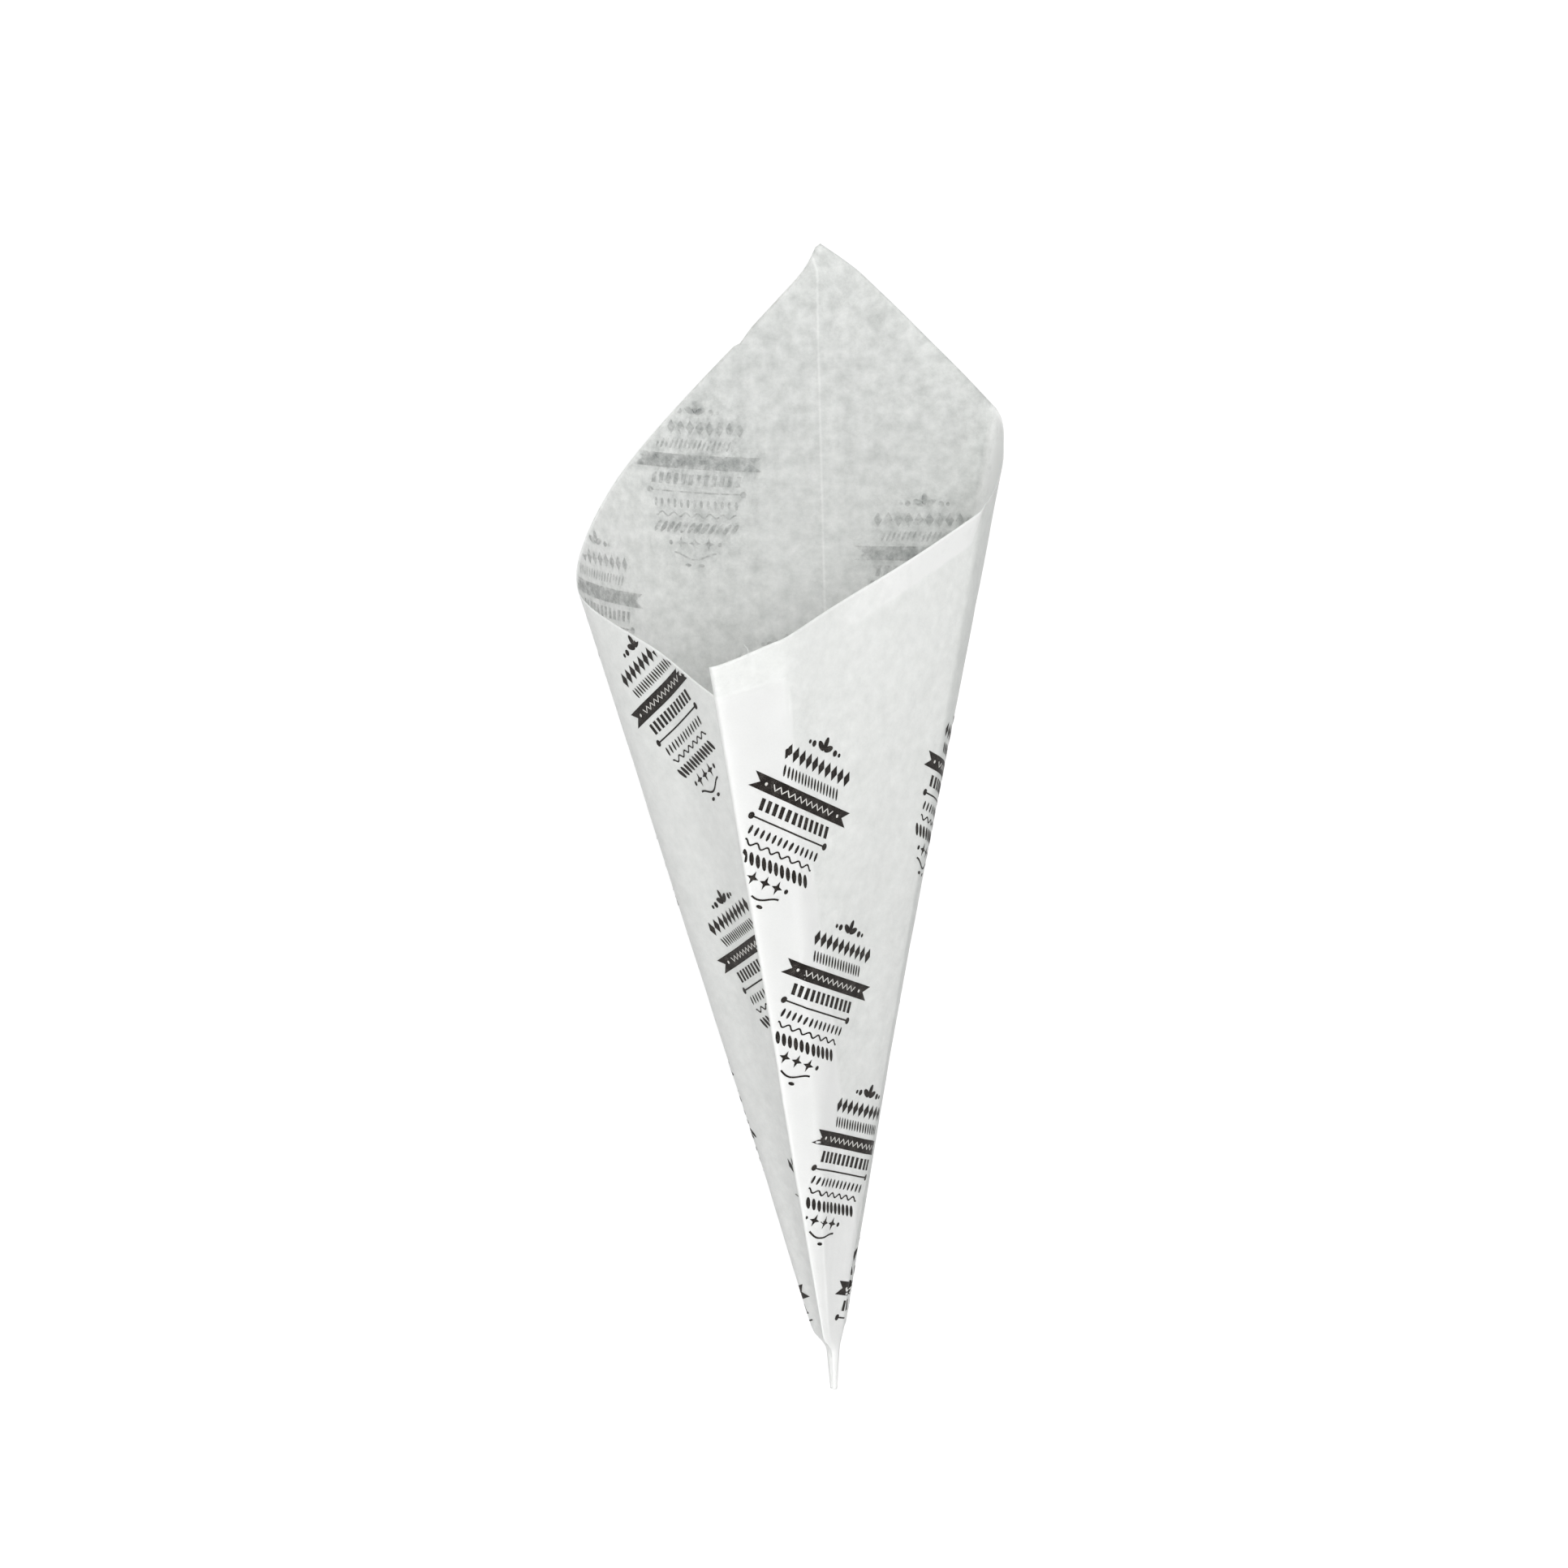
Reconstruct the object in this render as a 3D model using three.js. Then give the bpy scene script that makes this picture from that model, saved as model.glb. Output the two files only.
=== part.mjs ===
// Greaseproof paper cone, one square sheet rolled to a point with a glued lap down the front.
// Millimetres, +Z up. The cone lies on the flat spot along its back crease. The mouth opens
// toward +Y, the tall peak of the sheet is behind it, and the lap is on top.
import * as THREE from "three";

// Sheet
const sheetSide = 240;
const paperThickness = 0.25;
const lapWidth = 21;
const lapGap = 0.25;

// Where the sheet's bottom corner lies on the cone, from the apex and in the unrolled sheet
const cornerAlong = 3.6;
const cornerAcross = 7.2;
const creaseTurn = THREE.MathUtils.degToRad(0.4);
const seamAngle = THREE.MathUtils.degToRad(45);

// Section of the cone as [across, up] on an upright plane, starting at the crease. What would
// lie under the floor is pressed flat, which gives the spot that the cone rests on.
const sectionAt = 200;
const section = [
  [0, -1],
  [17.5, 0],
  [35.3, 0],
  [37, 15.5],
  [35, 30],
  [32.7, 36.6],
  [31.1, 39.2],
  [18, 54.8],
  [-4, 80],
  [-14.7, 92.2],
  [-17.3, 93.8],
  [-32.5, 102.3],
  [-34.2, 99.5],
  [-42.5, 79.5],
  [-57.5, 49],
  [-45.5, 18],
  [-25.5, 3],
];

// Rolled tail at the tip
const tailEnd = 4;
const tailLength = 12;
const tailBlend = 9;
const tailEndRadius = 1.1;
const tailRootRadius = 1.9;
const tailLapTurn = THREE.MathUtils.degToRad(26);

// Flared lip along the right front of the rim, and the curl of the peak
const lipWidth = 6.5;
const lipFlare = 1.2;
const lipStart = THREE.MathUtils.degToRad(10);
const lipFadeAngle = THREE.MathUtils.degToRad(12);
const curlLength = 34;
const curlRise = 7;
const leanLength = 9;
const curlLean = 3.8;

// Mesh
const sheetColumns = 62;
const lapColumns = 7;
const rows = 40;
const rowCrowding = 0.6;
const sectionSteps = 80;

const { clamp, lerp, smoothstep } = THREE.MathUtils;

// The directions of the cone's straight lines, with the sheet angle at which each one comes.
function makeDirections() {
  const points = section.map(([across, up]) => new THREE.Vector3(across, sectionAt, up));
  const curve = new THREE.CatmullRomCurve3(points, true, "centripetal");
  const directions = curve.getPoints(section.length * sectionSteps).map((point) => {
    point.z = Math.max(point.z, 0);
    return point.normalize();
  });
  const angles = [0];
  for (let i = 1; i < directions.length; i += 1) {
    angles.push(angles[i - 1] + directions[i].angleTo(directions[i - 1]));
  }
  return { directions, angles };
}

const { directions, angles } = makeDirections();
const fullTurn = angles[angles.length - 1];
const backOfSeam = seamAngle - fullTurn;

// The straight line of the cone at a sheet angle from the crease, positive toward +X.
function directionAt(angle) {
  const wrapped = THREE.MathUtils.euclideanModulo(angle, fullTurn);
  let low = 0;
  let high = angles.length - 1;
  while (high - low > 1) {
    const middle = (low + high) >> 1;
    if (angles[middle] > wrapped) high = middle;
    else low = middle;
  }
  const share = (wrapped - angles[low]) / (angles[high] - angles[low]);
  return directions[low].clone().lerp(directions[high], share).normalize();
}

// The rim is the sheet's two upper edges, which meet square at the peak.
const peakAlong = cornerAlong + sheetSide * Math.SQRT2;
const peakAcross = cornerAcross;

function rimDistance(angle) {
  const flat = angle + creaseTurn;
  const side = flat > Math.atan2(peakAcross, peakAlong) ? 1 : -1;
  return (peakAlong + side * peakAcross) / (Math.cos(flat) + side * Math.sin(flat));
}

// The middle line of the cone, on which the tail is rolled.
function makeAxis() {
  const sum = new THREE.Vector3();
  directions.forEach((direction) => sum.add(direction));
  return sum.normalize();
}

const axis = makeAxis();
const axisDown = new THREE.Vector3(0, 0, -1).addScaledVector(axis, axis.z).normalize();
const axisRight = axisDown.clone().cross(axis);

function tailPoint(angle, distance) {
  const turn = (angle / fullTurn) * 2 * Math.PI;
  const share = (distance - tailEnd) / tailLength;
  const radius = lerp(tailEndRadius, tailRootRadius, share);
  const middle = axis.clone().multiplyScalar(distance);
  middle.z = Math.max(middle.z, radius);
  return middle
    .addScaledVector(axisDown, radius * Math.cos(turn))
    .addScaledVector(axisRight, radius * Math.sin(turn));
}

// How far the lip flares out, and how far the peak curls up and leans to the left.
function lipOut(angle, distance) {
  const inside = (rimDistance(angle) - distance) * Math.SQRT1_2;
  const share = clamp(1 - inside / lipWidth, 0, 1);
  const fadeIn = smoothstep(angle - lipStart, 0, lipFadeAngle);
  const fadeOut = smoothstep(seamAngle - angle, 0, lipFadeAngle);
  return lipFlare * share * share * fadeIn * fadeOut;
}

function curled(angle, distance) {
  const belowPeak = peakAlong - distance * Math.cos(angle + creaseTurn);
  const rise = clamp(1 - belowPeak / curlLength, 0, 1) ** 2 * curlRise;
  const lean = clamp(1 - belowPeak / leanLength, 0, 1) ** 1.5 * curlLean;
  return { rise, lean };
}

// Outer face of the paper, before the layers are set apart.
function conePoint(angle, distance) {
  const direction = directionAt(angle);
  const nudge = 0.002;
  const around = directionAt(angle + nudge).sub(directionAt(angle - nudge));
  const outward = direction.clone().cross(around).normalize();
  const cone = direction.multiplyScalar(distance).addScaledVector(outward, lipOut(angle, distance));
  const { rise, lean } = curled(angle, distance);
  cone.x -= lean;
  cone.z = Math.max(cone.z, 0) + rise;
  const tailTop = tailEnd + tailLength;
  const blend = smoothstep(distance, tailTop, tailTop + tailBlend);
  return blend === 1 ? cone : tailPoint(angle, distance).lerp(cone, blend);
}

// The paper under the seam lies one paper and one gap further in than the paper over it.
function layerDepth(angle) {
  const rampStart = backOfSeam / 3;
  return (paperThickness + lapGap) * clamp((angle - rampStart) / (backOfSeam - rampStart), 0, 1);
}

function sheetPoint(angle, distance, depth) {
  const nudge = 0.001;
  const reach = 0.05;
  const around = conePoint(angle + nudge, distance).sub(conePoint(angle - nudge, distance));
  const along = conePoint(angle, distance + reach).sub(conePoint(angle, distance - reach));
  const inward = around.cross(along).normalize();
  return conePoint(angle, distance).addScaledVector(inward, layerDepth(angle) + depth);
}

// Sheet angle and distance from the apex at each crossing of a column and a row. The columns
// under the seam fan out to the lap's width, and the rest are straight lines of the cone. The
// rows lie closer together near the tip and the rim.
function gridPlace(column, row) {
  const share = row / rows;
  const along = lerp(share, smoothstep(share, 0, 1), rowCrowding);
  const lapDistance = lerp(tailEnd, rimDistance(backOfSeam), along);
  const lapTurn = Math.min(lapWidth / lapDistance, tailLapTurn);
  const angle =
    column < lapColumns
      ? backOfSeam - lapTurn * (1 - column / lapColumns)
      : lerp(backOfSeam, seamAngle, (column - lapColumns) / sheetColumns);
  return { angle, distance: lerp(tailEnd, rimDistance(angle), along) };
}

function makeSheet() {
  const columns = lapColumns + sheetColumns;
  const positions = [];
  const faces = [];
  const indexOf = (layer, column, row) => (layer * (columns + 1) + column) * (rows + 1) + row;
  const quad = (a, b, c, d) => faces.push(a, b, c, a, c, d);

  for (const depth of [0, paperThickness]) {
    for (let column = 0; column <= columns; column += 1) {
      for (let row = 0; row <= rows; row += 1) {
        const { angle, distance } = gridPlace(column, row);
        positions.push(...sheetPoint(angle, distance, depth).toArray());
      }
    }
  }
  for (let column = 0; column < columns; column += 1) {
    for (let row = 0; row < rows; row += 1) {
      const corners = (layer) => [
        indexOf(layer, column, row),
        indexOf(layer, column + 1, row),
        indexOf(layer, column + 1, row + 1),
        indexOf(layer, column, row + 1),
      ];
      quad(...corners(0).reverse());
      quad(...corners(1));
    }
  }
  for (let column = 0; column < columns; column += 1) {
    const edge = (row) => [
      indexOf(0, column, row),
      indexOf(0, column + 1, row),
      indexOf(1, column + 1, row),
      indexOf(1, column, row),
    ];
    quad(...edge(0));
    quad(...edge(rows).reverse());
  }
  for (let row = 0; row < rows; row += 1) {
    const edge = (column) => [
      indexOf(0, column, row),
      indexOf(1, column, row),
      indexOf(1, column, row + 1),
      indexOf(0, column, row + 1),
    ];
    quad(...edge(0));
    quad(...edge(columns).reverse());
  }
  const geometry = new THREE.BufferGeometry();
  geometry.setAttribute("position", new THREE.Float32BufferAttribute(positions, 3));
  geometry.setIndex(faces);
  return geometry;
}

// The origin is on the floor under the middle of the cone's box.
function centreOnFloor(geometry) {
  geometry.computeBoundingBox();
  const middle = geometry.boundingBox.getCenter(new THREE.Vector3());
  geometry.translate(-middle.x, -middle.y, 0);
  geometry.computeVertexNormals();
  return geometry;
}

const paper = new THREE.MeshStandardMaterial({
  color: 0xe6e6e1,
  roughness: 0.7,
  metalness: 0,
  side: THREE.DoubleSide,
});

const cone = new THREE.Mesh(centreOnFloor(makeSheet()), paper);
cone.name = "paper_cone";

const part = new THREE.Group();
part.add(cone);

export default part;
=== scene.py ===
import math

import bmesh
import bpy
import numpy as np
from mathutils import Matrix, Vector


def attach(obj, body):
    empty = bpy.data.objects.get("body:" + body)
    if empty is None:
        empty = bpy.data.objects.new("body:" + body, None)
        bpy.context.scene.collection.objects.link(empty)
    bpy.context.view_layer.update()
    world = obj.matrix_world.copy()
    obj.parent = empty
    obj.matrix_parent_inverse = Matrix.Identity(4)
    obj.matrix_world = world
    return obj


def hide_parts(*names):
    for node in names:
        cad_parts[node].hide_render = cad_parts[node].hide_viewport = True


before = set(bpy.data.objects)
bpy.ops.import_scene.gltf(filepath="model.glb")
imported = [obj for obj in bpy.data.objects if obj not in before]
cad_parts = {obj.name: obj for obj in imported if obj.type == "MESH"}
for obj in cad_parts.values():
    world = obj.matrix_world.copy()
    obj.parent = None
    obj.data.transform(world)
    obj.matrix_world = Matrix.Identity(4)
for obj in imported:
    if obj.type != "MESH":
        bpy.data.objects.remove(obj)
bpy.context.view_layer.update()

MM = 0.001

# Sheet, in millimetres and in the unrolled sheet's own plane: x across, y along, from the apex
SHEET_SIDE = 240
PAPER = 0.12
LAP_STEP = 0.5
LAP_WIDTH = 21
CORNER = np.array([7.2, 3.6])
CREASE_TURN = math.radians(0.4)
SEAM_ANGLE = math.radians(45)
PEAK = CORNER + np.array([0, SHEET_SIDE * math.sqrt(2)])
SHEET_MIDDLE = CORNER + np.array([0, SHEET_SIDE / math.sqrt(2)])

# Section of the cone as [across, up] at this distance from the apex, starting at the crease
SECTION_AT = 200
SECTION_STEPS = 80
SECTION = [
    [0, -1],
    [17.5, 0],
    [35.3, 0],
    [37, 15.5],
    [35, 30],
    [32.7, 36.6],
    [31.1, 39.2],
    [18, 54.8],
    [-4, 80],
    [-14.7, 92.2],
    [-17.3, 93.8],
    [-32.5, 102.3],
    [-34.2, 99.5],
    [-42.5, 79.5],
    [-57.5, 49],
    [-45.5, 18],
    [-25.5, 3],
]

# Rolled tail at the tip
TAIL_END = 4
TAIL_LENGTH = 12
TAIL_TOP = TAIL_END + TAIL_LENGTH
TAIL_BLEND = 9
TAIL_END_RADIUS = 1.1
TAIL_ROOT_RADIUS = 1.9
TAIL_LAP_TURN = math.radians(26)

# Lip that flares outward along the right front of the rim, past a slightly rounded fold
LIP_WIDTH = 6.5
LIP_FLARE = 1.3
LIP_ROUND = 0.5
LIP_LEAD = 4
LIP_EDGE = 0.5
LIP_CORNER = (math.radians(20.6), math.radians(21.8))
LIP_FADE = (math.radians(26), math.radians(38))

# Peak that curls up and leans, and the rim beside it that bends up
CURL_LENGTH = 34
CURL_RISE = 7
CURL_LEAN = 3.8
LEAN_LENGTH = 9
BACK_RISE = 5
BACK_RISE_WIDTH = 30
BACK_RISE_ANGLES = (math.radians(1), math.radians(5), math.radians(7), math.radians(12))


def smooth(value, low, high):
    share = np.clip((value - low) / (high - low), 0, 1)
    return share * share * (3 - 2 * share)


def window(value, low, full, still_full, high):
    return smooth(value, low, full) * (1 - smooth(value, still_full, high))


# The cone's straight lines


def closed_curve(points, steps):
    """A centripetal Catmull-Rom curve through points, as a closed row of samples."""
    points = np.asarray(points, float)
    before, after, beyond = (np.roll(points, shift, 0) for shift in (1, -1, -2))
    gap0 = np.linalg.norm(points - before, axis=1)[:, None] ** 0.5
    gap1 = np.linalg.norm(after - points, axis=1)[:, None] ** 0.5
    gap2 = np.linalg.norm(beyond - after, axis=1)[:, None] ** 0.5
    slope = (after - points) / gap1
    start = ((points - before) / gap0 - (after - before) / (gap0 + gap1) + slope) * gap1
    end = (slope - (beyond - points) / (gap1 + gap2) + (beyond - after) / gap2) * gap1
    share = np.linspace(0, 1, steps, endpoint=False)[:, None, None]
    samples = (
        points
        + start * share
        + (3 * (after - points) - 2 * start - end) * share**2
        + (2 * (points - after) + start + end) * share**3
    )
    row = samples.transpose(1, 0, 2).reshape(-1, points.shape[1])
    return np.concatenate([row, row[:1]])


def cone_lines():
    """Direction and outward normal of each straight line, and the sheet angle at which it comes."""
    row = closed_curve([[across, SECTION_AT, up] for across, up in SECTION], SECTION_STEPS)
    row[:, 2] = np.maximum(row[:, 2], 0)
    row /= np.linalg.norm(row, axis=1)[:, None]
    turns = np.arccos(np.clip((row[1:] * row[:-1]).sum(1), -1, 1))
    angles = np.concatenate([[0], np.cumsum(turns)])
    ahead = np.concatenate([row[1:], row[1:2]])
    behind = np.concatenate([row[-2:-1], row[:-1]])
    normals = np.cross(row, ahead - behind)
    normals /= np.linalg.norm(normals, axis=1)[:, None]
    return row, normals, angles


LINES, NORMALS, ANGLES = cone_lines()
FULL_TURN = ANGLES[-1]
BACK_OF_SEAM = SEAM_ANGLE - FULL_TURN


def along_lines(table, angle):
    wrapped = np.mod(angle, FULL_TURN)
    found = np.stack([np.interp(wrapped, ANGLES, table[:, axis]) for axis in range(3)], -1)
    return found / np.linalg.norm(found, axis=-1)[..., None]


def rim_distance(angle):
    """The rim is the sheet's two upper edges, which meet square at the peak."""
    flat = angle + CREASE_TURN
    side = np.where(flat > math.atan2(*PEAK), 1, -1)
    return (PEAK[1] + side * PEAK[0]) / (np.cos(flat) + side * np.sin(flat))


def below_rim(angle, distance):
    """How far inside the rim a place lies, square to the sheet's edge."""
    return (rim_distance(angle) - distance) * math.sqrt(0.5)


def below_peak(angle, distance):
    return PEAK[1] - distance * np.cos(angle + CREASE_TURN)


def to_flat(angle, distance):
    turned_angle = angle + CREASE_TURN
    return np.stack([distance * np.sin(turned_angle), distance * np.cos(turned_angle)], -1)


def from_flat(flat):
    return np.arctan2(flat[..., 0], flat[..., 1]) - CREASE_TURN, np.linalg.norm(flat, axis=-1)


# Tail, lip and peak

AXIS = LINES[:-1].sum(0)
AXIS /= np.linalg.norm(AXIS)
AXIS_DOWN = AXIS * AXIS[2] - np.array([0, 0, 1])
AXIS_DOWN /= np.linalg.norm(AXIS_DOWN)
AXIS_RIGHT = np.cross(AXIS_DOWN, AXIS)


def tail(angle, distance):
    """The rolled tail's surface and outward normal."""
    turn = angle / FULL_TURN * 2 * math.pi
    share = (distance - TAIL_END) / TAIL_LENGTH
    radius = TAIL_END_RADIUS + (TAIL_ROOT_RADIUS - TAIL_END_RADIUS) * share
    middle = AXIS * distance[..., None]
    middle[..., 2] = np.maximum(middle[..., 2], radius)
    outward = AXIS_DOWN * np.cos(turn)[..., None] + AXIS_RIGHT * np.sin(turn)[..., None]
    return middle + outward * radius[..., None], outward


def past_fold(angle, distance):
    """How far a place lies past the lip's fold toward the rim."""
    return LIP_WIDTH * smooth(angle, *LIP_CORNER) - below_rim(angle, distance)


def lip_out(angle, distance):
    past = past_fold(angle, distance)
    bent = (past + np.sqrt(past**2 + LIP_ROUND**2)) / 2
    fade = 1 - smooth(angle, *LIP_FADE)
    return bent * LIP_FLARE / LIP_WIDTH * smooth(past, -LIP_LEAD, 0) * fade


def lip_painted_light_mask(angle, distance):
    """Where the lip's painted light goes, with a soft edge along its fold."""
    past = past_fold(angle, distance)
    return smooth(past, -LIP_EDGE, LIP_EDGE) * window(angle, *LIP_CORNER, *LIP_FADE)


def curl_up(angle, distance):
    return CURL_RISE * np.clip(1 - below_peak(angle, distance) / CURL_LENGTH, 0, 1) ** 2


def lean(angle, distance):
    return CURL_LEAN * np.clip(1 - below_peak(angle, distance) / LEAN_LENGTH, 0, 1) ** 1.5


def back_rise(angle, distance):
    """The rim to the right of the peak bends up too."""
    share = np.clip(1 - below_rim(angle, distance) / BACK_RISE_WIDTH, 0, 1)
    return BACK_RISE * share * share * window(angle, *BACK_RISE_ANGLES)


# Small waves of the paper. The two layers under the seam move together.

# The right side wall sinks in below the distance at which it is even, and bulges out past it
SIDE_PER_MM = 0.0095
SIDE_EVEN_AT = 263
SIDE_ANGLES = (math.radians(9.5), math.radians(14), math.radians(18), math.radians(26))
SIDE_STARTS = (14, 40)
# Turns round the cone, waves along it in one wave length, phase, height
WAVES = [
    (2, 0.7, 0.4, 0.22),
    (3, 1.3, 2.1, 0.18),
    (5, 0.9, 4.0, 0.14),
    (7, 2.2, 1.2, 0.08),
    (11, 4.1, 5.3, 0.035),
    (17, 9.3, 0.7, 0.02),
    (23, 14.2, 3.3, 0.015),
]
WAVE_LENGTH = 300
WAVE_STARTS = (20, 90)
# Soft creases in the flat sheet: ends across and along, width, height
CREASES = [
    ((-17.7, 270.0), (-7.0, 260.5), 1.3, -0.22),
    ((96.0, 107.5), (103.0, 109.5), 2.4, 0.14),
    ((99.5, 113.0), (104.0, 116.0), 2.4, -0.12),
    ((120.0, 150.0), (150.0, 128.0), 2.2, 0.10),
    ((40.0, 205.0), (75.0, 235.0), 2.6, -0.12),
    ((-60.0, 235.0), (-20.0, 225.0), 2.4, 0.14),
    ((70.0, 84.0), (96.0, 70.0), 2.0, 0.10),
]
# Where the seam's edge curls up a little
EDGE_WIDTH = 1.5
EDGE_RISE = 0.18
EDGE_PLACES = (72, 86, 116, 124)


def near_crease(angle, distance):
    flat = to_flat(angle, distance)
    height = np.zeros_like(angle)
    for start, end, width, rise in CREASES:
        start, end = np.array(start), np.array(end)
        length = np.linalg.norm(end - start)
        ahead = (end - start) / length
        along = np.clip((flat - start) @ ahead, 0, length)
        off = np.linalg.norm(flat - start - along[..., None] * ahead, axis=-1)
        height += rise * np.exp(-((off / width) ** 2))
    return height


def edge_curl(angle, distance):
    to_edge = distance * (SEAM_ANGLE - angle)
    return EDGE_RISE * (1 - smooth(to_edge, 0, EDGE_WIDTH)) * window(distance, *EDGE_PLACES)


def wave_height(turn, distance):
    height = np.zeros_like(turn)
    for round_turns, along_turns, phase, rise in WAVES:
        place = round_turns * turn / FULL_TURN + along_turns * distance / WAVE_LENGTH
        height += rise * np.sin(2 * math.pi * place + phase)
    return height * smooth(distance, *WAVE_STARTS)


def relief(angle, distance):
    """How far the paper stands out from the plain cone."""
    turn = np.mod(angle, FULL_TURN)
    side = SIDE_PER_MM * (distance - SIDE_EVEN_AT) * window(turn, *SIDE_ANGLES)
    small = near_crease(angle, distance) + edge_curl(angle, distance)
    return wave_height(turn, distance) + side * smooth(distance, *SIDE_STARTS) + small


# The rolled sheet


def layer_depth(angle):
    """The paper under the seam lies one step further in than the paper over it."""
    start = BACK_OF_SEAM / 3
    return LAP_STEP * np.clip((angle - start) / (BACK_OF_SEAM - start), 0, 1)


def rolled(angle, distance, out):
    """Where a point of the sheet lies on the cone, out millimetres outside the paper's outer face."""
    normal = along_lines(NORMALS, angle)
    cone = along_lines(LINES, angle) * distance[..., None]
    cone += normal * (relief(angle, distance) + lip_out(angle, distance))[..., None]
    cone[..., 0] -= lean(angle, distance)
    rise = curl_up(angle, distance) + back_rise(angle, distance)
    cone[..., 2] = np.maximum(cone[..., 2], 0) + rise
    blend = smooth(distance, TAIL_TOP, TAIL_TOP + TAIL_BLEND)[..., None]
    tail_place, tail_normal = tail(angle, distance)
    place = tail_place + (cone - tail_place) * blend
    normal = tail_normal + (normal - tail_normal) * blend
    normal /= np.linalg.norm(normal, axis=-1)[..., None]
    return place + normal * (out - layer_depth(angle))[..., None]


SHEET_COLUMNS = 240
LAP_COLUMNS = 12
ROWS = 190
# Share of the rows, and how far up the sheet they reach: close at the tail and in the mouth
ROW_SHARES = ([0, 0.08, 0.3, 1], [0, 0.06, 0.45, 1])
# A small nick in the rim, left of the peak
NICK_ANGLE = math.radians(-3.87)
NICK_WIDTH = math.radians(0.28)
NICK_DEPTH = 1.1
APEX = Vector((7.666, -172.849, 0))


def grid_places():
    """Sheet angle and distance from the apex at each crossing of a column and a row."""
    along = np.interp(np.linspace(0, 1, ROWS + 1), *ROW_SHARES)[None, :]
    lap_distance = TAIL_END + (rim_distance(BACK_OF_SEAM) - TAIL_END) * along
    lap_turn = np.minimum(LAP_WIDTH / lap_distance, TAIL_LAP_TURN)
    lap_share = np.linspace(1, 0, LAP_COLUMNS, endpoint=False)[:, None]
    lap = BACK_OF_SEAM - lap_turn * lap_share
    sheet_share = np.linspace(0, 1, SHEET_COLUMNS + 1)[:, None]
    rest = np.repeat(BACK_OF_SEAM + FULL_TURN * sheet_share, ROWS + 1, axis=1)
    angle = np.concatenate([lap, rest])
    nick = NICK_DEPTH * np.exp(-(((angle - NICK_ANGLE) / NICK_WIDTH) ** 2))
    return angle, TAIL_END + (rim_distance(angle) - nick - TAIL_END) * along


def sheet_faces(columns, rows):
    """Outer and inner quads, then the four edges, of two stacked grids."""
    layer = (columns + 1) * (rows + 1)
    column, row = np.meshgrid(np.arange(columns), np.arange(rows), indexing="ij")
    at = (column * (rows + 1) + row).ravel()
    quad = np.stack([at, at + rows + 1, at + rows + 2, at + 1], -1)
    across = np.arange(columns) * (rows + 1)
    up = np.arange(rows)
    last = columns * (rows + 1)
    tip = np.stack([across, across + rows + 1, across + rows + 1 + layer, across + layer], -1)
    rim = (tip + rows)[:, ::-1]
    left = np.stack([up, up + layer, up + 1 + layer, up + 1], -1)
    right = (left + last)[:, ::-1]
    return np.concatenate([quad[:, ::-1], quad + layer, tip, rim, left, right])


def make_mesh(name, points, faces):
    mesh = bpy.data.meshes.new(name)
    mesh.from_pydata(((points + np.array(APEX)) * MM).tolist(), [], faces)
    return mesh


def make_piece(name, mesh):
    mesh.shade_smooth()
    piece = bpy.data.objects.new(name, mesh)
    bpy.context.scene.collection.objects.link(piece)
    return piece


def add_numbers(mesh, name, values):
    numbers = mesh.attributes.new(name, "FLOAT", "POINT")
    numbers.data.foreach_set("value", np.asarray(values, np.float32).ravel())


def add_flat(mesh, flat):
    """Keeps each point's place in the flat sheet, which the looks follow."""
    for axis, name in enumerate(("flat_x", "flat_y")):
        add_numbers(mesh, name, flat[:, axis] * MM)


# Width of the double layer's soft edge, the distances between which the inner face stops being
# deep and loses its painted light, and the band of the outer side wall that gets painted shade
LAP_EDGE = 1
DEEP_PAINTED_LIGHT_DISTANCES = (190, 300)
SIDE_BAND_PAINTED_SHADE_ANGLES = (math.radians(7), math.radians(11), math.radians(20.7), math.radians(21.5))


def two_layers(angle, distance):
    """How much of the outer face lies over the lap, with a soft edge."""
    lap_angle = angle - FULL_TURN
    past_edge = LAP_WIDTH - distance * (BACK_OF_SEAM - lap_angle)
    inside = np.minimum(past_edge, below_rim(lap_angle, distance))
    return np.clip(inside / LAP_EDGE + 0.5, 0, 1)


def add_outside_numbers(mesh, angle, distance):
    """What tells the outer face's parts apart: the double layer, the lip's painted light, the side
    band's painted shade. The inner face has none of it.
    """
    none = np.zeros(angle.size)
    for name, values in (
        ("double", two_layers(angle, distance)),
        # lip sets where painted light goes, side where painted shade goes
        ("lip", lip_painted_light_mask(angle, distance)),
        ("side", window(angle, *SIDE_BAND_PAINTED_SHADE_ANGLES)),
    ):
        add_numbers(mesh, name, [values.ravel(), none])


def add_inside_numbers(mesh, angle, distance, ghost):
    """Inner face masks: painted shade all over, painted light by how deep and how steep parts lie, and
    what shows through.
    """
    none = np.zeros(angle.size)
    steep = 1 - abs(along_lines(NORMALS, angle)[..., 2])
    for name, values in (
        # inside gets painted shade and the inner clouds; deep and steep set where painted light goes
        ("inside", np.ones(angle.size)),
        ("ghost", ghost),
        ("deep", 1 - smooth(distance, *DEEP_PAINTED_LIGHT_DISTANCES)),
        ("steep", steep),
    ):
        add_numbers(mesh, name, [none, values.ravel()])


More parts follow.
